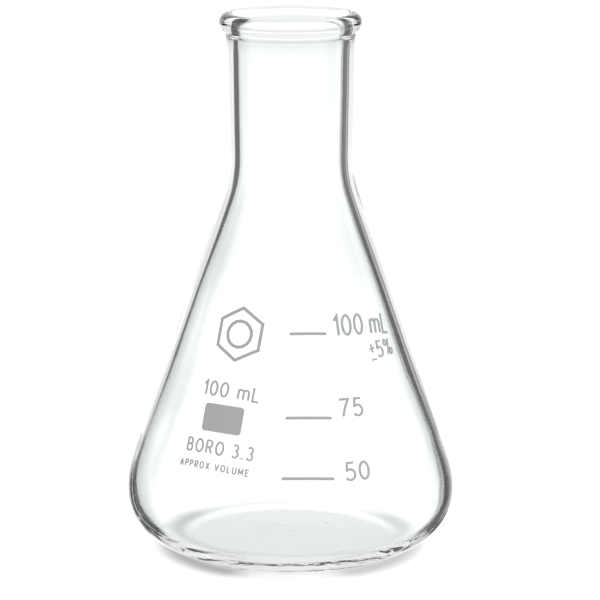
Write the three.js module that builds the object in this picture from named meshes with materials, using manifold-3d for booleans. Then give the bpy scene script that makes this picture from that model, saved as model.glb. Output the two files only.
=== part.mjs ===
// A 100 mL narrow-mouth Erlenmeyer flask, in millimetres, +Z up, standing on z = 0 with its axis on Z.
// The flask is one blown-glass vessel. Everything else on it is a thin island of fired-on enamel: the
// graduation lines and figures on its right half, and the symbol, capacity, marking spot and notes on
// its left half. Azimuth 0 is the -Y side, and azimuth grows towards +X.
import * as THREE from "three";
import Module from "manifold-3d";

// ---------------------------------------------------------------- driving dimensions

// Body, from the table up.
const HEIGHT = 105;
const FOOT_RADIUS = 20; // outer edge of the flat ring that touches the table
const FOOT_RING_WIDTH = 3.5;
const PUSH_UP = 0.8; // how far the middle of the base stands off the table
const CONE_ANGLE = THREE.MathUtils.degToRad(18.75); // between the body's side and the axis
const CONE_FOOT_RADIUS = 31; // where the straight cone leaves the heel
const CONE_FOOT_HEIGHT = 17.5;
const HEEL_PULL_OUT = 1.2; // lengths of the heel curve's two handles
const HEEL_PULL_DOWN = 15.7;

// Shoulder, neck and lip.
const NECK_RADIUS = 12; // at its waist, just above the shoulder
const NECK_TOP_RADIUS = 12.3;
const SHOULDER_RADIUS = 25;
const LIP_RADIUS = 1.78; // the lip is a round bead
const LIP_OVERHANG = 1.35; // how far the bead stands proud of the neck
const LIP_UNDERCUT = THREE.MathUtils.degToRad(35); // slope of the flare under the bead

// Wall thickness at heights up the side. The glass was blown thin low on the body.
const WALLS = [
  { height: 0, wall: 2 }, // base
  { height: 8, wall: 1.5 }, // heel
  { height: 22, wall: 1.36 }, // lower body
  { height: 38, wall: 1.93 }, // upper body
  { height: 50, wall: 1.93 },
  { height: 67, wall: 2.3 }, // shoulder
  { height: 80, wall: 2.15 }, // neck
];

// Enamel.
const ENAMEL_GAP = 0.06; // clearance between the glass and each island
const ENAMEL_THICKNESS = 0.12;
const PRINT_TILT = -1.8; // degrees: the whole print runs slightly downhill
const LARGEST_STEP = 1.2; // longest straight run of an island round the cone

const LATHE_SEGMENTS = 56;
const GLASS_LOOK = { color: 0xe9f4f4, roughness: 0.04, metalness: 0 };
const ENAMEL_LOOK = { color: 0xabadae, roughness: 0.55, metalness: 0 };

const wasm = await Module();
wasm.setup();

// ---------------------------------------------------------------- glass vessel

// The outer side from the middle of the base to the top of the neck, as [curve, steps] pairs.
function outerCurves() {
  const point = (radius, height) => new THREE.Vector2(radius, height);
  const ringInner = FOOT_RADIUS - FOOT_RING_WIDTH;
  const coneFoot = point(CONE_FOOT_RADIUS, CONE_FOOT_HEIGHT);
  const coneDown = point(Math.sin(CONE_ANGLE), -Math.cos(CONE_ANGLE));

  const pushUp = new THREE.CubicBezierCurve(
    point(0, PUSH_UP),
    point(ringInner * 0.5, PUSH_UP),
    point(ringInner * 0.6, 0),
    point(ringInner, 0),
  );
  const footRing = new THREE.LineCurve(point(ringInner, 0), point(FOOT_RADIUS, 0));
  const heel = new THREE.CubicBezierCurve(
    point(FOOT_RADIUS, 0),
    point(FOOT_RADIUS + HEEL_PULL_OUT, 0),
    coneFoot.clone().addScaledVector(coneDown, HEEL_PULL_DOWN),
    coneFoot,
  );

  const shoulderCentreRadius = NECK_RADIUS + SHOULDER_RADIUS;
  const coneTopRadius = shoulderCentreRadius - SHOULDER_RADIUS * Math.cos(CONE_ANGLE);
  const coneTopHeight =
    CONE_FOOT_HEIGHT + (CONE_FOOT_RADIUS - coneTopRadius) / Math.tan(CONE_ANGLE);
  const waistHeight = coneTopHeight + SHOULDER_RADIUS * Math.sin(CONE_ANGLE);
  const cone = new THREE.LineCurve(coneFoot, point(coneTopRadius, coneTopHeight));
  const shoulder = new THREE.EllipseCurve(
    shoulderCentreRadius,
    waistHeight,
    SHOULDER_RADIUS,
    SHOULDER_RADIUS,
    Math.PI + CONE_ANGLE,
    Math.PI,
    true,
  );
  const neck = new THREE.LineCurve(
    point(NECK_RADIUS, waistHeight),
    point(NECK_TOP_RADIUS, neckTopHeight()),
  );
  return [
    [pushUp, 6],
    [footRing, 1],
    [heel, 12],
    [cone, 9],
    [shoulder, 6],
    [neck, 3],
  ];
}

// The middle of the round lip, as radius and height.
function lipCentre() {
  return new THREE.Vector2(
    NECK_TOP_RADIUS + LIP_OVERHANG - LIP_RADIUS,
    HEIGHT - LIP_RADIUS,
  );
}

// The flare under the lip is tangent to the bead and runs down to the neck.
function neckTopHeight() {
  const flareTopRadius = lipCentre().x + LIP_RADIUS * Math.cos(LIP_UNDERCUT);
  const flareTopHeight = lipCentre().y - LIP_RADIUS * Math.sin(LIP_UNDERCUT);
  return flareTopHeight - (flareTopRadius - NECK_TOP_RADIUS) / Math.tan(LIP_UNDERCUT);
}

// The wall at a height, running smoothly from each station to the next.
function wallAt(height) {
  const { lerp, smoothstep } = THREE.MathUtils;
  let wall = WALLS[0].wall;
  for (let i = 1; i < WALLS.length; i += 1) {
    wall = lerp(wall, WALLS[i].wall, smoothstep(height, WALLS[i - 1].height, WALLS[i].height));
  }
  return wall;
}

// The whole closed section: up the outside, over the lip and down the inside.
function vesselProfile() {
  const outside = [];
  const inside = [];
  for (const [curve, steps] of outerCurves()) {
    const first = outside.length > 0 ? 1 : 0; // each curve starts where the last one ended
    for (let i = first; i <= steps; i += 1) {
      const at = curve.getPoint(i / steps);
      const along = curve.getTangent(i / steps);
      const inward = new THREE.Vector2(-along.y, along.x);
      outside.push(at);
      inside.push(at.clone().addScaledVector(inward, wallAt(at.y)));
    }
  }
  outside[0].x = 0; // both surfaces close exactly on the axis
  inside[0].x = 0;
  const lipSteps = 14;
  const lip = new THREE.EllipseCurve(
    lipCentre().x,
    lipCentre().y,
    LIP_RADIUS,
    LIP_RADIUS,
    -LIP_UNDERCUT,
    Math.PI,
    false,
  );
  return [...outside, ...lip.getPoints(lipSteps), ...inside.reverse()];
}

function vesselGeometry() {
  const geometry = new THREE.LatheGeometry(vesselProfile(), LATHE_SEGMENTS);
  return geometry.rotateX(Math.PI / 2);
}

// ---------------------------------------------------------------- wrapping enamel on the cone

// Rolls a flat island (x right, y up, z out, around its own origin) on the cone. The cone unrolls to a
// flat sector, so the island keeps its true shape. Place: azimuth and tilt in degrees, height in mm.
function rollOnCone(geometry, place) {
  const slope = Math.sin(CONE_ANGLE);
  const rise = Math.cos(CONE_ANGLE);
  const apexHeight = CONE_FOOT_HEIGHT + CONE_FOOT_RADIUS / Math.tan(CONE_ANGLE);
  const originSlant = (apexHeight - place.height) / rise;
  const centre = THREE.MathUtils.degToRad(place.azimuth);
  geometry.rotateZ(THREE.MathUtils.degToRad(place.tilt ?? PRINT_TILT));
  const position = geometry.getAttribute("position");
  for (let i = 0; i < position.count; i += 1) {
    const across = position.getX(i);
    const down = originSlant - position.getY(i);
    const out = ENAMEL_GAP + position.getZ(i);
    const slant = Math.hypot(across, down);
    const azimuth = centre + Math.atan2(across, down) / slope;
    const radius = slant * slope + out * rise;
    const height = apexHeight - slant * rise + out * slope;
    position.setXYZ(i, radius * Math.sin(azimuth), -radius * Math.cos(azimuth), height);
  }
  return geometry;
}

// ---------------------------------------------------------------- flat strokes of enamel

// Adds points so that no straight run is longer than the largest step.
function divide(points, closed) {
  const divided = [];
  const runs = closed ? points.length : points.length - 1;
  for (let i = 0; i < runs; i += 1) {
    const from = points[i];
    const to = points[(i + 1) % points.length];
    const steps = Math.ceil(from.distanceTo(to) / LARGEST_STEP);
    for (let step = 0; step < steps; step += 1) {
      divided.push(from.clone().lerp(to, step / steps));
    }
  }
  return closed ? divided : [...divided, points[points.length - 1]];
}

// The sideways direction at a point of a centre line, longer at a corner so that the edges stay parallel.
function sideways(points, i, closed) {
  const here = points[i];
  const before = points[i - 1] ?? (closed ? points[points.length - 1] : here);
  const after = points[i + 1] ?? (closed ? points[0] : here);
  const arriving = here.clone().sub(before).normalize();
  const leaving = after.clone().sub(here).normalize();
  const along = arriving.clone().add(leaving).normalize();
  const straight = arriving.lengthSq() > 0 ? arriving : leaving;
  return new THREE.Vector2(-along.y, along.x).divideScalar(straight.dot(along));
}

// A flat ribbon along a centre line, with one half width for each point and a rectangular section.
function ribbon(points, halfWidths, closed = false) {
  const vertices = [];
  points.forEach((here, i) => {
    const side = sideways(points, i, closed).multiplyScalar(halfWidths[i]);
    const left = here.clone().add(side);
    const right = here.clone().sub(side);
    vertices.push(left.x, left.y, 0, right.x, right.y, 0);
    vertices.push(right.x, right.y, ENAMEL_THICKNESS, left.x, left.y, ENAMEL_THICKNESS);
  });
  const corners = 4;
  const faces = [];
  const quad = (a, b, c, d) => faces.push(a, b, c, a, c, d);
  const sections = closed ? points.length : points.length - 1;
  for (let i = 0; i < sections; i += 1) {
    const near = corners * i;
    const far = corners * ((i + 1) % points.length);
    for (let corner = 0; corner < corners; corner += 1) {
      const next = (corner + 1) % corners;
      quad(near + corner, far + corner, far + next, near + next);
    }
  }
  if (!closed) {
    const end = corners * sections;
    quad(0, 1, 2, 3);
    quad(end + 3, end + 2, end + 1, end);
  }
  const geometry = new THREE.BufferGeometry();
  geometry.setAttribute("position", new THREE.Float32BufferAttribute(vertices, 3));
  return geometry.setIndex(faces);
}

function stroke(points, width, closed = false) {
  const centreLine = divide(points, closed);
  return ribbon(centreLine, Array(centreLine.length).fill(width / 2), closed);
}

// A bar or a patch with rounded corners, centred on the origin.
function roundedBar(length, width, cornerRadius) {
  const cornerSteps = 4;
  const leftEnd = [];
  for (let i = 0; i <= cornerSteps; i += 1) {
    const turn = (Math.PI / 2) * (i / cornerSteps);
    leftEnd.push({
      x: cornerRadius * (1 - Math.cos(turn)) - length / 2,
      halfWidth: width / 2 - cornerRadius * (1 - Math.sin(turn)),
    });
  }
  const rightEnd = leftEnd.map(({ x, halfWidth }) => ({ x: -x, halfWidth })).reverse();
  const straight = length - 2 * cornerRadius;
  const steps = Math.ceil(straight / LARGEST_STEP);
  const middle = [];
  for (let i = 1; i < steps; i += 1) {
    middle.push({ x: straight * (i / steps - 0.5), halfWidth: width / 2 });
  }
  const stations = [...leftEnd, ...middle, ...rightEnd];
  return ribbon(
    stations.map(({ x }) => new THREE.Vector2(x, 0)),
    stations.map(({ halfWidth }) => halfWidth),
  );
}

function toManifold(geometry) {
  return new wasm.Manifold(
    new wasm.Mesh({
      numProp: 3,
      vertProperties: geometry.getAttribute("position").array,
      triVerts: new Uint32Array(geometry.index.array),
    }),
  );
}

// Joins overlapping strokes into one island.
function join(geometries) {
  if (geometries.length === 1) return geometries[0];
  const { vertProperties, triVerts } = geometries
    .map(toManifold)
    .reduce((joined, next) => joined.add(next))
    .getMesh();
  const geometry = new THREE.BufferGeometry();
  geometry.setAttribute("position", new THREE.Float32BufferAttribute(vertProperties, 3));
  return geometry.setIndex([...triVerts]);
}

// ---------------------------------------------------------------- figures and letters

// Centre lines of strokes, in units of the figure's height. path takes x, y, x, y and so on.
function path(...coordinates) {
  const points = [];
  for (let i = 0; i < coordinates.length; i += 2) {
    points.push(new THREE.Vector2(coordinates[i], coordinates[i + 1]));
  }
  return points;
}

// Part of an ellipse, with angles in degrees, turning clockwise when the angle falls.
function arc(centreX, centreY, radiusX, radiusY, from, to) {
  const degreesPerStep = 22.5;
  const steps = Math.ceil(Math.abs(to - from) / degreesPerStep);
  const [start, end] = [from, to].map(THREE.MathUtils.degToRad);
  const curve = new THREE.EllipseCurve(
    centreX, centreY, radiusX, radiusY, start, end, to < from,
  );
  return curve.getPoints(steps);
}

function loop(centreX, centreY, radiusX, radiusY) {
  const points = arc(centreX, centreY, radiusX, radiusY, 0, 360).slice(0, -1);
  return Object.assign(points, { closed: true });
}

// Each glyph: its width, and its separate islands by name, each a list of overlapping strokes.
const single = (name, width, ...strokes) => ({ width, islands: { [name]: strokes } });
const STEM = path(0, 0, 0, 1);
const UPPER_BOWL = [...path(0, 1), ...arc(0.27, 0.74, 0.22, 0.26, 90, -90), ...path(0, 0.48)];
const GLYPHS = {
  0: single("zero", 0.52, loop(0.26, 0.5, 0.26, 0.5)),
  1: single("one", 0.22, path(0, 0.76, 0.2, 1, 0.2, 0)),
  3: single(
    "three",
    0.46,
    arc(0.22, 0.76, 0.2, 0.24, 150, -90),
    arc(0.22, 0.26, 0.24, 0.26, 90, -150),
  ),
  5: single(
    "five",
    0.5,
    path(0.45, 1, 0.1, 1, 0.05, 0.5),
    arc(0.23, 0.31, 0.27, 0.31, 135, -145),
  ),
  7: single("seven", 0.5, path(0, 1, 0.5, 1, 0.29, 0.5, 0.16, 0)),
  m: single(
    "m",
    0.72,
    path(0, 0, 0, 0.7),
    [...path(0, 0.42), ...arc(0.18, 0.52, 0.18, 0.18, 180, 0), ...path(0.36, 0)],
    [...path(0.36, 0.42), ...arc(0.54, 0.52, 0.18, 0.18, 180, 0), ...path(0.72, 0)],
  ),
  "±": {
    width: 0.4,
    islands: {
      plus: [path(0, 0.65, 0.4, 0.65), path(0.2, 0.38, 0.2, 0.92)],
      minus: [path(0, -0.07, 0.4, -0.07)],
    },
  },
  "%": {
    width: 0.76,
    islands: {
      upper_ring: [loop(0.14, 0.8, 0.13, 0.18)],
      slash: [path(0.26, 0, 0.52, 1)],
      lower_ring: [loop(0.62, 0.2, 0.13, 0.18)],
    },
  },
  ".": single("point", 0, path(0, -0.06, 0, 0.1)),
  A: single("A", 0.6, path(0, 0, 0.3, 1), path(0.3, 1, 0.6, 0), path(0.1, 0.33, 0.5, 0.33)),
  B: single(
    "B",
    0.49,
    STEM,
    [...path(0, 1), ...arc(0.24, 0.76, 0.2, 0.24, 90, -90), ...path(0, 0.52)],
    [...path(0, 0.52), ...arc(0.25, 0.26, 0.24, 0.26, 90, -90), ...path(0, 0)],
  ),
  E: single("E", 0.46, path(0.46, 1, 0, 1, 0, 0, 0.46, 0), path(0, 0.52, 0.42, 0.52)),
  L: single("L", 0.42, path(0, 1, 0, 0, 0.42, 0)),
  M: single("M", 0.66, STEM, path(0, 1, 0.33, 0.2), path(0.33, 0.2, 0.66, 1), path(0.66, 1, 0.66, 0)),
  O: single("O", 0.64, loop(0.32, 0.5, 0.32, 0.5)),
  P: single("P", 0.49, STEM, UPPER_BOWL),
  R: single("R", 0.5, STEM, UPPER_BOWL, path(0.24, 0.48, 0.5, 0)),
  U: single("U", 0.52, [...path(0, 1), ...arc(0.26, 0.28, 0.26, 0.28, 180, 360), ...path(0.52, 1)]),
  V: single("V", 0.58, path(0, 1, 0.29, 0), path(0.29, 0, 0.58, 1)),
  X: single("X", 0.54, path(0, 0, 0.54, 1), path(0, 1, 0.54, 0)),
};

// ---------------------------------------------------------------- assembling the flask

const flask = new THREE.Group();

function addMesh(name, geometry, look) {
  const mesh = new THREE.Mesh(geometry, new THREE.MeshStandardMaterial(look));
  mesh.name = name;
  flask.add(mesh);
}

function addEnamel(name, flat, place) {
  addMesh(name, rollOnCone(flat, place), ENAMEL_LOOK);
}

// Sets a row of glyphs on a baseline, starting x mm from the place's own generatrix.
function addText(name, text, style, place) {
  const unit = style.height - style.stroke;
  const unitWide = unit * (style.wide ?? 1);
  let left = place.x;
  let count = 0;
  for (const character of text) {
    if (character === " ") {
      left += style.space - style.gap;
      continue;
    }
    const glyph = GLYPHS[character];
    const setPoint = ({ x, y }) =>
      new THREE.Vector2(
        left + style.stroke / 2 + x * unitWide,
        style.stroke / 2 + y * unit,
      );
    for (const [part, strokes] of Object.entries(glyph.islands)) {
      count += 1;
      const island = join(
        strokes.map((points) => stroke(points.map(setPoint), style.stroke, points.closed)),
      );
      addEnamel(`${name}_${count}_${part}`, island, place);
    }
    left += glyph.width * unitWide + style.stroke + style.gap;
  }
}

// A level line and its figure for each graduation. The line's middle sits at the volume's height.
function addScale() {
  const lineWidth = 0.56;
  const corner = 0.16;
  const graduations = [
    { volume: 100, height: 46.9, azimuth: 9, length: 7 },
    { volume: 75, height: 31.9, azimuth: 7.5, length: 8.7 },
    { volume: 50, height: 21.15, azimuth: 6.3, length: 9.9 },
  ];
  for (const { volume, height, azimuth, length } of graduations) {
    const line = roundedBar(length, lineWidth, corner);
    addEnamel(`graduation_line_${volume}`, line, { azimuth, height });
  }
  const hundred = { height: 4.2, stroke: 0.48, gap: 0.42, space: 1.65, wide: 0.92 };
  const small = { height: 3.7, stroke: 0.46, gap: 0.55, wide: 1.12 };
  const tolerance = { height: 3.4, stroke: 0.38, gap: 0.3 };
  addText("scale_100ml", "100 mL", hundred, { azimuth: 30, height: 45.95, x: -2.7 });
  addText("scale_75", "75", small, { azimuth: 25.5, height: 31.5, x: -2.3 });
  addText("scale_50", "50", small, { azimuth: 25, height: 20.15, x: -2.6 });
  addText("tolerance", "±5%", tolerance, { azimuth: 50, height: 41.05, x: -3.4, tilt: 0 });
}

// A plain six-sided ring with a round ring inside it.
function addSymbol() {
  const place = { azimuth: -27, height: 46.4 };
  const strokeWidth = 0.6;
  const hexagonRadius = 5;
  const circleRadius = 2.5;
  const corners = [30, 90, 150, 210, 270, 330].map((degrees) => {
    const angle = THREE.MathUtils.degToRad(degrees);
    return new THREE.Vector2(Math.cos(angle), Math.sin(angle)).multiplyScalar(hexagonRadius);
  });
  const circle = loop(0, 0, circleRadius, circleRadius);
  addEnamel("symbol_hexagon", stroke(corners, strokeWidth, true), place);
  addEnamel("symbol_ring", stroke(circle, strokeWidth, true), place);
}

function addLabel() {
  const capacity = { height: 3, stroke: 0.38, gap: 0.5, space: 1.9, wide: 1.1 };
  const glassType = { height: 2.75, stroke: 0.36, gap: 0.55, space: 1.65 };
  const note = { height: 1.46, stroke: 0.25, gap: 0.33, space: 1.1 };
  addSymbol();
  addText("capacity_100ml", "100 mL", capacity, { azimuth: -28, height: 34.75, x: -5.8 });
  addEnamel("marking_spot", roundedBar(8.4, 5.3, 0.65), { azimuth: -29, height: 31, tilt: -1 });
  addText("glass_type", "BORO 3.3", glassType, { azimuth: -28.5, height: 24.4, x: -7.4 });
  addText("volume_note", "APPROX VOLUME", note, { azimuth: -28.5, height: 21.6, x: -8.5 });
}

addMesh("glass_vessel", vesselGeometry(), GLASS_LOOK);
addScale();
addLabel();

export default flask;
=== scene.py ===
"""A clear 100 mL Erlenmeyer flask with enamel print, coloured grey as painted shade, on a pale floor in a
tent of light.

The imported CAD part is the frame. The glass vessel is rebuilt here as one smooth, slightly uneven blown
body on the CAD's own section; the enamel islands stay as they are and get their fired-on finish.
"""

import math

import bmesh
import bpy
import numpy as np
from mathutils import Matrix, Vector, noise


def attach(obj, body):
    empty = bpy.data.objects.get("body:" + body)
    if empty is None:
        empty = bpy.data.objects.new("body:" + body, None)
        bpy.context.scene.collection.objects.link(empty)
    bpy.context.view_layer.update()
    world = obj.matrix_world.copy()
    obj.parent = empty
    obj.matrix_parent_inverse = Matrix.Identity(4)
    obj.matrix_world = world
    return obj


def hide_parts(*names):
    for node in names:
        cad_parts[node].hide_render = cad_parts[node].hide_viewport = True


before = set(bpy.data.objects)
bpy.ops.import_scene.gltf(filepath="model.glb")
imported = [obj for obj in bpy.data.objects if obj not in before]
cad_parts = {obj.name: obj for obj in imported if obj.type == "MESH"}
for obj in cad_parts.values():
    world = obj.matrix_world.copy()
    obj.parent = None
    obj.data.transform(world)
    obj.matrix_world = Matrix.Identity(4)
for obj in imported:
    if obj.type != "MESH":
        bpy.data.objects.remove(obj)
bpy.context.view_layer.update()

MM = 0.001
VESSEL = "glass_vessel"

# ---------------------------------------------------------------- glass shape

GRID = 0.001 * MM  # CAD corners closer than this are one corner
LONGEST_SPAN = 3.0 * MM  # longer straight runs of the CAD section get extra control points
STEPS_PER_SPAN = 2
AZIMUTH_STEPS = 340

BASE_RIPPLE = 0.07 * MM  # height of the uneven rings that moulding leaves in the floor of the flask
BASE_RIPPLE_PITCH = 3.4 * MM
BASE_RIPPLE_REACH = 27 * MM  # radius at which they die out
BASE_RIPPLE_HEIGHT = 6 * MM  # height up the heel at which they stop
BASE_RIPPLE_UNDERSIDE = 0.15  # share of the height on the underside
RIPPLE_CENTRE = (0.8 * MM, -0.6 * MM)
RIPPLE_WANDER = 1.6 * MM  # how far a ring strays from its circle
RIPPLE_WANDER_SIZE = 9 * MM
RIPPLE_PATCH_SIZE = 7 * MM  # the rings are stronger and weaker in patches
RIPPLE_ROUGH_SIZE = 3.5 * MM  # small unevenness between the rings, drawn out along X
RIPPLE_ROUGH_STRETCH = 1.5
INSIDE_SHIFT = 0.18 * MM  # the bore is blown this far off centre, towards -X, in the middle of the body
INSIDE_SHIFT_RISE = (6 * MM, 18 * MM)  # heights between which the shift comes in
INSIDE_SHIFT_FALL = (50 * MM, 72 * MM)  # and goes out again
WALL_WAVE = 0.025 * MM  # slow unevenness of the inside of the blown wall
WALL_WAVE_ROUND = 12 * MM  # size of the waves round the wall
WALL_WAVE_UP = 45 * MM  # and up it
WALL_WAVE_RISE = 27  # the waves come in over this many rows below the rim

# ---------------------------------------------------------------- studio

CAMERA_DISTANCE = 0.560
CAMERA_HEIGHT = 0.1683
CAMERA_PITCH = math.radians(12.03)
CAMERA_LENS = 176.6  # mm, on the 36 mm sensor
CAMERA_SHIFT = 0.0157  # the flask stands a little left of the middle of the frame

FLOOR_RADIUS = 0.30
FLOOR_LEVEL = 1.1  # brightness of the floor where the camera sees it unshaded
FLOOR_GAP = 0.03 * MM  # the floor lies this far under the flask, so that the two faces stay apart
SHADOW_INNER = 23 * MM  # the contact shadow under the heel is darkest here and ends at the outer radius
SHADOW_OUTER = 28.3 * MM
SHADOW_DEPTH = 0.58
# The contact shadow is weaker in front, behind and on the right. Each row holds the two cosines between
# which the share of the shadow changes, and the shares there; -1 is nearest to the camera or far left.
SHADOW_FRONT = (-0.99, -0.84, 0.22, 1.0)
SHADOW_BACK = (0.4, 0.9, 1.0, 0.35)
SHADOW_SIDE = (-0.7, 0.7, 1.0, 0.75)
FOOT_SHADOW_INNER = 19 * MM  # inside the foot the floor is evenly a little darker
FOOT_SHADOW_OUTER = 23 * MM
FOOT_SHADOW_SHIFT = 4 * MM  # the light comes from behind, so this shadow lies nearer to the camera
FOOT_SHADOW_DEPTH = 0.32

# The studio is an open-ended tent close round the flask, with lit panels: (azimuths from and to),
# (elevations from and to), brightness and half the width of the soft sides, all angles in degrees.
# Azimuth is the place on the tent, 0 straight ahead of the camera and growing to the right; elevation is
# that of the ray that meets it. Panels that overlap add up, and nearly black flags fill the rest.
TENT_RADIUS = 95 * MM
TENT_HEIGHTS = (-250 * MM, 400 * MM)  # it goes on below the floor, for light that passes through it
FLAG_LEVEL = 0.1
PANELS = {
    "backdrop": ((-41, 33.5), (-25, -5), 0.92, 2),
    "backdrop_glow": ((-27, 25), (-25, -9), 0.2, 3),
    "backdrop_upper": ((-44, 34), (-5, 13), 0.8, 2),
    "backdrop_top": ((-36, 34), (13, 32), 0.65, 5),
    "grey_card_right": ((37, 43), (-25, 8), 0.35, 1.5),
    "overhead_strip": ((-20, 20), (32, 95), 0.9, 5),
    "near_floor": ((-35, 32), (-38, -25), 1.1, 5),
    "floor_below": ((-200, 200), (-100, -38), 0.8, 5),
    "room_right": ((66, 190), (-38, 50), 1.0, 8),
    "room_left": ((-190, -85), (-38, 50), 0.85, 5),
}
PANEL_FADE = 3  # degrees, half the width of the soft top and bottom of a panel
WHITE_LEVEL = 1.05  # brightness of the background where the camera sees it past the flask


def cad_section(node):
    """The CAD vessel's half section, from the middle of the underside, over the lip and down inside."""
    mesh = node.data
    corners = np.empty(len(mesh.vertices) * 3)
    mesh.vertices.foreach_get("co", corners)
    cells = np.round(corners.reshape(-1, 3) / GRID).astype(int)
    places, shared = np.unique(cells, axis=0, return_inverse=True)
    shared = shared.reshape(-1)
    in_plane = (np.abs(places[:, 1]) <= 1) & (places[:, 0] >= -1)
    neighbours = {int(i): set() for i in np.flatnonzero(in_plane)}
    for edge in mesh.edges:
        a, b = (int(shared[v]) for v in edge.vertices)
        if a != b and a in neighbours and b in neighbours:
            neighbours[a].add(b)
            neighbours[b].add(a)
    on_axis = [i for i in neighbours if abs(places[i, 0]) <= 1]
    here = min(on_axis, key=lambda i: places[i, 2])
    chain = [here]
    while ahead := neighbours[here] - set(chain):
        here = min(ahead, key=lambda i: np.linalg.norm(places[i] - places[here]))
        chain.append(here)
    section = places[chain][:, [0, 2]] * GRID
    section[[0, -1], 0] = 0
    return section


def smooth_section(section):
    """A cubic B-spline on the section's corners, with a level tangent where it meets the axis."""
    controls = [section[0]]
    for start, end in zip(section[:-1], section[1:]):
        spans = max(1, math.ceil(np.linalg.norm(end - start) / LONGEST_SPAN))
        controls += [start + (end - start) * k / spans for k in range(1, spans + 1)]
    mirror = np.array([-1, 1])
    controls = np.array([controls[1] * mirror, *controls, controls[-2] * mirror])
    t = np.arange(STEPS_PER_SPAN)[:, None] / STEPS_PER_SPAN
    basis = np.hstack([(1 - t) ** 3, 3 * t**3 - 6 * t**2 + 4, 1 + 3 * t + 3 * t**2 - 3 * t**3, t**3]) / 6
    spans = [basis @ controls[i : i + 4] for i in range(len(controls) - 3)]
    end = (controls[-3] + 4 * controls[-2] + controls[-1]) / 6
    return np.vstack([*spans, end])


def section_normals(section):
    along = np.gradient(section, axis=0)
    outward = np.column_stack([along[:, 1], -along[:, 0]])
    return outward / np.linalg.norm(outward, axis=1)[:, None]


def base_ripple(x, y, z, inner):
    """Rings left by moulding, a little off centre, wandering and broken up, over the floor of the flask."""
    if z > BASE_RIPPLE_HEIGHT:
        return 0.0
    wander = RIPPLE_WANDER * noise.noise(Vector((x, y, 0)) / RIPPLE_WANDER_SIZE)
    radius = math.hypot(x - RIPPLE_CENTRE[0], y - RIPPLE_CENTRE[1]) + wander
    fade = max(0.0, 1 - (math.hypot(x, y) / BASE_RIPPLE_REACH) ** 4)
    rings = math.sin(2 * math.pi * radius / BASE_RIPPLE_PITCH)
    patches = 0.7 + 0.6 * noise.noise(Vector((x, y, 9 * MM)) / RIPPLE_PATCH_SIZE)
    rough = noise.noise(Vector((x, RIPPLE_ROUGH_STRETCH * y, 16 * MM)) / RIPPLE_ROUGH_SIZE)
    share = 1.0 if inner else BASE_RIPPLE_UNDERSIDE
    return share * BASE_RIPPLE * fade * (0.7 * patches * rings + 0.6 * rough)


def smoothly(value, start, end):
    """0 below the start, 1 above the end and a smooth rise between."""
    share = min(1.0, max(0.0, (value - start) / (end - start)))
    return share * share * (3 - 2 * share)


def inside_shift(z):
    """How far the bore stands off centre at a height."""
    return -INSIDE_SHIFT * smoothly(z, *INSIDE_SHIFT_RISE) * (1 - smoothly(z, *INSIDE_SHIFT_FALL))


def wall_wave(x, y, z):
    """Slow waves, long up the wall and shorter round it."""
    return WALL_WAVE * noise.noise(Vector((x / WALL_WAVE_ROUND, y / WALL_WAVE_ROUND, z / WALL_WAVE_UP)))


def glass_mesh():
    """The section turned round the axis, from the middle of the underside to the middle of the floor."""
    section = smooth_section(cad_section(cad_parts[VESSEL]))
    normals = section_normals(section)
    rim = int(np.argmax(section[:, 1]))
    turns = 2 * math.pi * np.arange(AZIMUTH_STEPS) / AZIMUTH_STEPS
    vertices = [(0.0, 0.0, section[0, 1])]
    for i in range(1, len(section) - 1):
        radius, height = section[i]
        inner = i > rim
        for turn in turns:
            x, y = radius * math.cos(turn), radius * math.sin(turn)
            offset = base_ripple(x, y, height, inner)
            if inner:
                offset += wall_wave(x, y, height) * min(1.0, (i - rim) / WALL_WAVE_RISE)
            r = radius + offset * normals[i, 0]
            shift = inside_shift(height) if inner else 0.0
            vertices.append(
                (r * math.cos(turn) + shift, r * math.sin(turn), height + offset * normals[i, 1])
            )
    last = len(section) - 1
    vertices.append((0.0, 0.0, section[last, 1]))
    n = AZIMUTH_STEPS
    top = len(vertices) - 1
    faces = []
    for j in range(n):
        k = (j + 1) % n
        faces.append((0, 1 + k, 1 + j))
        for row in range(last - 2):
            near, far = 1 + row * n, 1 + (row + 1) * n
            faces.append((near + j, near + k, far + k, far + j))
        final = 1 + (last - 2) * n
        faces.append((top, final + j, final + k))
    mesh = bpy.data.meshes.new("flask_glass")
    mesh.from_pydata(vertices, [], faces)
    mesh.shade_smooth()
    return mesh


# ---------------------------------------------------------------- materials


def new_material(name):
    material = bpy.data.materials.new(name)
    material.use_nodes = True
    material.node_tree.nodes.clear()
    return material, material.node_tree


def combine(tree, operation, first, second):
    """A maths node; either input is a socket or a number."""
    node = tree.nodes.new("ShaderNodeMath")
    node.operation = operation
    for socket, value in zip(node.inputs, (first, second)):
        if isinstance(value, (int, float)):
            socket.default_value = value
        else:
            tree.links.new(value, socket)
    return node.outputs["Value"]


def noise_node(tree, scale, detail=3.0, roughness=0.5):
    place = tree.nodes.new("ShaderNodeTexCoord")
    texture = tree.nodes.new("ShaderNodeTexNoise")
    texture.inputs["Scale"].default_value = scale
    texture.inputs["Detail"].default_value = detail
    texture.inputs["Roughness"].default_value = roughness
    tree.links.new(place.outputs["Object"], texture.inputs["Vector"])
    return texture


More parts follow.
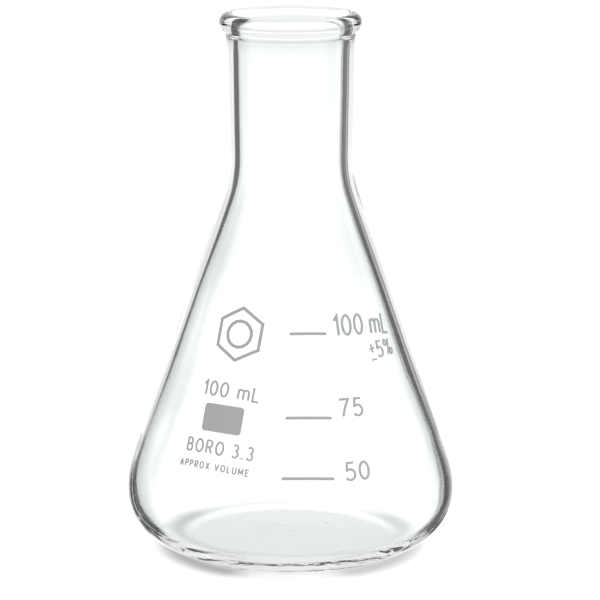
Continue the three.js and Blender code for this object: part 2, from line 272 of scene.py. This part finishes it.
def glass_material():
    """Colourless borosilicate glass, fire-polished, with a barely uneven skin."""
    material, tree = new_material("clear_borosilicate_glass")
    output = tree.nodes.new("ShaderNodeOutputMaterial")
    glass = tree.nodes.new("ShaderNodeBsdfPrincipled")
    glass.inputs["Base Color"].default_value = (0.985, 1.0, 1.0, 1)
    glass.inputs["Roughness"].default_value = 0.0
    glass.inputs["IOR"].default_value = 1.473
    glass.inputs["Transmission Weight"].default_value = 1.0
    waves = noise_node(tree, scale=220, detail=2)
    bump = tree.nodes.new("ShaderNodeBump")
    bump.inputs["Strength"].default_value = 0.05
    bump.inputs["Distance"].default_value = 0.1 * MM
    tree.links.new(waves.outputs["Fac"], bump.inputs["Height"])
    tree.links.new(bump.outputs["Normal"], glass.inputs["Normal"])
    tree.links.new(glass.outputs["BSDF"], output.inputs["Surface"])
    return material


def enamel_material():
    """Fired-on enamel: a dense film with a fine grain and thin patches. Its pale grey is painted shade: the
    print is darkened for the shade it lies in.
    """
    material, tree = new_material("fired_enamel_painted_shade")
    output = tree.nodes.new("ShaderNodeOutputMaterial")
    enamel = tree.nodes.new("ShaderNodeBsdfPrincipled")
    grain = noise_node(tree, scale=2600, detail=4, roughness=0.6)
    # The grey of these two tones is painted shade; the grain between them varies at random.
    shaded_tone = tree.nodes.new("ShaderNodeValToRGB")
    shaded_tone.color_ramp.elements[0].position = 0.3
    shaded_tone.color_ramp.elements[0].color = (0.425, 0.435, 0.44, 1)
    shaded_tone.color_ramp.elements[1].position = 0.7
    shaded_tone.color_ramp.elements[1].color = (0.495, 0.505, 0.51, 1)
    gloss = tree.nodes.new("ShaderNodeMapRange")
    gloss.inputs["To Min"].default_value = 0.42
    gloss.inputs["To Max"].default_value = 0.62
    bump = tree.nodes.new("ShaderNodeBump")
    bump.inputs["Strength"].default_value = 0.25
    bump.inputs["Distance"].default_value = 0.02 * MM
    tree.links.new(grain.outputs["Fac"], shaded_tone.inputs["Fac"])
    tree.links.new(grain.outputs["Fac"], gloss.inputs["Value"])
    tree.links.new(grain.outputs["Fac"], bump.inputs["Height"])
    tree.links.new(shaded_tone.outputs["Color"], enamel.inputs["Base Color"])
    tree.links.new(gloss.outputs["Result"], enamel.inputs["Roughness"])
    tree.links.new(bump.outputs["Normal"], enamel.inputs["Normal"])
    tree.links.new(enamel.outputs["BSDF"], output.inputs["Surface"])
    return material


def smooth_step(tree, value, start, end, first, last):
    """Runs smoothly from the first level to the last one as the value goes from start to end."""
    step = tree.nodes.new("ShaderNodeMapRange")
    step.interpolation_type = "SMOOTHSTEP"
    step.inputs["From Min"].default_value = start
    step.inputs["From Max"].default_value = end
    step.inputs["To Min"].default_value = first
    step.inputs["To Max"].default_value = last
    tree.links.new(value, step.inputs["Value"])
    return step.outputs["Result"]


def distance(tree, across, ahead):
    """Length of the level vector with these two parts."""
    square = combine(
        tree, "ADD", combine(tree, "POWER", across, 2.0), combine(tree, "POWER", ahead, 2.0)
    )
    return combine(tree, "SQRT", square, 0.0)


def plan_place(tree):
    """The shaded point in plan, as the camera sees it: distance from the axis, across and ahead."""
    place = tree.nodes.new("ShaderNodeTexCoord")
    point = tree.nodes.new("ShaderNodeSeparateXYZ")
    level = tree.nodes.new("ShaderNodeCombineXYZ")
    turn = tree.nodes.new("ShaderNodeVectorTransform")
    turn.vector_type = "VECTOR"
    turn.convert_from = "WORLD"
    turn.convert_to = "CAMERA"
    seen = tree.nodes.new("ShaderNodeSeparateXYZ")
    tree.links.new(place.outputs["Object"], point.inputs["Vector"])
    tree.links.new(point.outputs["X"], level.inputs["X"])
    tree.links.new(point.outputs["Y"], level.inputs["Y"])
    tree.links.new(level.outputs["Vector"], turn.inputs["Vector"])
    tree.links.new(turn.outputs["Vector"], seen.inputs["Vector"])
    radius = distance(tree, point.outputs["X"], point.outputs["Y"])
    across = seen.outputs["X"]
    square = combine(
        tree, "SUBTRACT", combine(tree, "POWER", radius, 2.0), combine(tree, "POWER", across, 2.0)
    )
    ahead = combine(tree, "SQRT", combine(tree, "MAXIMUM", square, 0.0), 0.0)
    ahead = combine(tree, "MULTIPLY", ahead, combine(tree, "SIGN", seen.outputs["Z"], 0.0))
    return radius, across, ahead


def contact_shadow(tree):
    """Brightness of the floor: dark round the foot, but for the light that the glass gathers in front."""
    radius, across, ahead = plan_place(tree)
    sideways = combine(tree, "DIVIDE", across, radius)
    forwards = combine(tree, "DIVIDE", ahead, radius)
    front = smooth_step(tree, forwards, *SHADOW_FRONT)
    back = smooth_step(tree, forwards, *SHADOW_BACK)
    side = smooth_step(tree, sideways, *SHADOW_SIDE)
    ring = smooth_step(tree, radius, SHADOW_INNER, SHADOW_OUTER, SHADOW_DEPTH, 0.0)
    start = smooth_step(tree, radius, FOOT_SHADOW_INNER, FOOT_SHADOW_OUTER, 0.0, 1.0)
    dark = start
    for share in (front, back, side, ring):
        dark = combine(tree, "MULTIPLY", dark, share)

    foot_radius = distance(tree, across, combine(tree, "ADD", ahead, FOOT_SHADOW_SHIFT))
    inside = smooth_step(
        tree, foot_radius, FOOT_SHADOW_INNER, FOOT_SHADOW_OUTER, FOOT_SHADOW_DEPTH, 0.0
    )
    inside = combine(tree, "MULTIPLY", inside, combine(tree, "SUBTRACT", 1.0, start))
    return combine(tree, "SUBTRACT", combine(tree, "SUBTRACT", 1.0, dark), inside)


def floor_material():
    """White where the camera sees it. Light bent by the glass passes through to the studio beyond."""
    material, tree = new_material("pale_floor")
    output = tree.nodes.new("ShaderNodeOutputMaterial")
    light = contact_shadow(tree)
    seen = tree.nodes.new("ShaderNodeEmission")
    tree.links.new(combine(tree, "MULTIPLY", light, FLOOR_LEVEL), seen.inputs["Strength"])
    beyond = tree.nodes.new("ShaderNodeBsdfTransparent")
    tree.links.new(light, beyond.inputs["Color"])
    ray = tree.nodes.new("ShaderNodeLightPath")
    choice = tree.nodes.new("ShaderNodeMixShader")
    tree.links.new(ray.outputs["Is Camera Ray"], choice.inputs["Fac"])
    tree.links.new(beyond.outputs["BSDF"], choice.inputs[1])
    tree.links.new(seen.outputs["Emission"], choice.inputs[2])
    tree.links.new(choice.outputs["Shader"], output.inputs["Surface"])
    return material


def between(tree, angle, limits, fade):
    """1 inside the limits and 0 outside them, in degrees, with soft edges; the angle is in radians."""
    low, high = ((math.radians(limit - fade), math.radians(limit + fade)) for limit in limits)
    return combine(
        tree,
        "MULTIPLY",
        smooth_step(tree, angle, *low, 0.0, 1.0),
        smooth_step(tree, angle, *high, 1.0, 0.0),
    )


def studio_light(tree, azimuth, elevation):
    """Brightness of the studio in one direction; the angles are sockets in radians."""
    total = FLAG_LEVEL
    for azimuths, elevations, level, side_fade in PANELS.values():
        panel = combine(
            tree,
            "MULTIPLY",
            between(tree, azimuth, azimuths, side_fade),
            between(tree, elevation, elevations, PANEL_FADE),
        )
        total = combine(tree, "ADD", total, combine(tree, "MULTIPLY", panel, level))
    return total


def tent_material():
    """The lit panels. The camera looks through them; only light bent or mirrored by the glass meets them.

    They keep their place round the camera, so that every view is lit as the main one is.
    """
    material, tree = new_material("light_tent")
    output = tree.nodes.new("ShaderNodeOutputMaterial")
    radius, across, ahead = plan_place(tree)
    azimuth = combine(tree, "ARCTAN2", across, ahead)
    ray = tree.nodes.new("ShaderNodeNewGeometry")
    back_along = tree.nodes.new("ShaderNodeSeparateXYZ")
    tree.links.new(ray.outputs["Incoming"], back_along.inputs["Vector"])
    rise = combine(tree, "MULTIPLY", back_along.outputs["Z"], -1.0)
    elevation = combine(tree, "ARCSINE", rise, 0.0)
    lit = tree.nodes.new("ShaderNodeEmission")
    tree.links.new(studio_light(tree, azimuth, elevation), lit.inputs["Strength"])
    clear = tree.nodes.new("ShaderNodeBsdfTransparent")
    path = tree.nodes.new("ShaderNodeLightPath")
    choice = tree.nodes.new("ShaderNodeMixShader")
    tree.links.new(path.outputs["Is Camera Ray"], choice.inputs["Fac"])
    tree.links.new(lit.outputs["Emission"], choice.inputs[1])
    tree.links.new(clear.outputs["BSDF"], choice.inputs[2])
    tree.links.new(choice.outputs["Shader"], output.inputs["Surface"])
    return material


# ---------------------------------------------------------------- pieces


def build_glass():
    piece = bpy.data.objects.new("flask_glass", glass_mesh())
    bpy.context.scene.collection.objects.link(piece)
    piece.data.materials.append(glass_material())
    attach(piece, "root")
    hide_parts(VESSEL)


def finish_enamel():
    enamel = enamel_material()
    for name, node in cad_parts.items():
        if name != VESSEL:
            node.material_slots[0].material = enamel


# ---------------------------------------------------------------- studio


def build_floor():
    shape = bmesh.new()
    bmesh.ops.create_circle(shape, cap_ends=True, radius=FLOOR_RADIUS, segments=128)
    mesh = bpy.data.meshes.new("floor")
    shape.to_mesh(mesh)
    shape.free()
    floor = bpy.data.objects.new("floor", mesh)
    floor.location.z = -FLOOR_GAP
    bpy.context.scene.collection.objects.link(floor)
    floor.data.materials.append(floor_material())


def build_tent():
    shape = bmesh.new()
    bottom, top = TENT_HEIGHTS
    bmesh.ops.create_cone(
        shape, cap_ends=False, radius1=TENT_RADIUS, radius2=TENT_RADIUS, depth=top - bottom, segments=256
    )
    bmesh.ops.translate(shape, verts=shape.verts, vec=(0, 0, (top + bottom) / 2))
    mesh = bpy.data.meshes.new("light_tent")
    shape.to_mesh(mesh)
    shape.free()
    tent = bpy.data.objects.new("light_tent", mesh)
    bpy.context.scene.collection.objects.link(tent)
    tent.data.materials.append(tent_material())


def build_world():
    """White to the camera. Light that leaves by the tent's open ends meets the same panels further out."""
    world = bpy.data.worlds.new("studio")
    bpy.context.scene.world = world
    world.use_nodes = True
    tree = world.node_tree
    tree.nodes.clear()
    place = tree.nodes.new("ShaderNodeTexCoord")
    seen = tree.nodes.new("ShaderNodeSeparateXYZ")
    true = tree.nodes.new("ShaderNodeSeparateXYZ")
    tree.links.new(place.outputs["Camera"], seen.inputs["Vector"])
    tree.links.new(place.outputs["Generated"], true.inputs["Vector"])
    azimuth = combine(tree, "ARCTAN2", seen.outputs["X"], seen.outputs["Z"])
    elevation = combine(tree, "ARCSINE", true.outputs["Z"], 0.0)
    total = studio_light(tree, azimuth, elevation)
    ray = tree.nodes.new("ShaderNodeLightPath")
    seen_directly = combine(tree, "MULTIPLY", ray.outputs["Is Camera Ray"], WHITE_LEVEL)
    total = combine(tree, "MAXIMUM", total, seen_directly)
    glow = tree.nodes.new("ShaderNodeBackground")
    output = tree.nodes.new("ShaderNodeOutputWorld")
    glow.inputs["Color"].default_value = (1, 1, 1, 1)
    tree.links.new(total, glow.inputs["Strength"])
    tree.links.new(glow.outputs["Background"], output.inputs["Surface"])


def build_camera():
    lens = bpy.data.cameras.new("camera")
    lens.lens = CAMERA_LENS
    lens.shift_x = CAMERA_SHIFT
    lens.clip_start = 0.01
    camera = bpy.data.objects.new("camera", lens)
    bpy.context.scene.collection.objects.link(camera)
    camera.location = (0, -CAMERA_DISTANCE, CAMERA_HEIGHT)
    camera.rotation_euler = (math.pi / 2 - CAMERA_PITCH, 0, 0)
    bpy.context.scene.camera = camera


def set_up_view():
    scene = bpy.context.scene
    scene.view_settings.view_transform = "Standard"
    scene.cycles.max_bounces = 64  # light runs a long way inside the thick heel and base
    scene.cycles.transmission_bounces = 64
    scene.cycles.glossy_bounces = 32


build_glass()
finish_enamel()
build_floor()
build_tent()
build_world()
build_camera()
set_up_view()
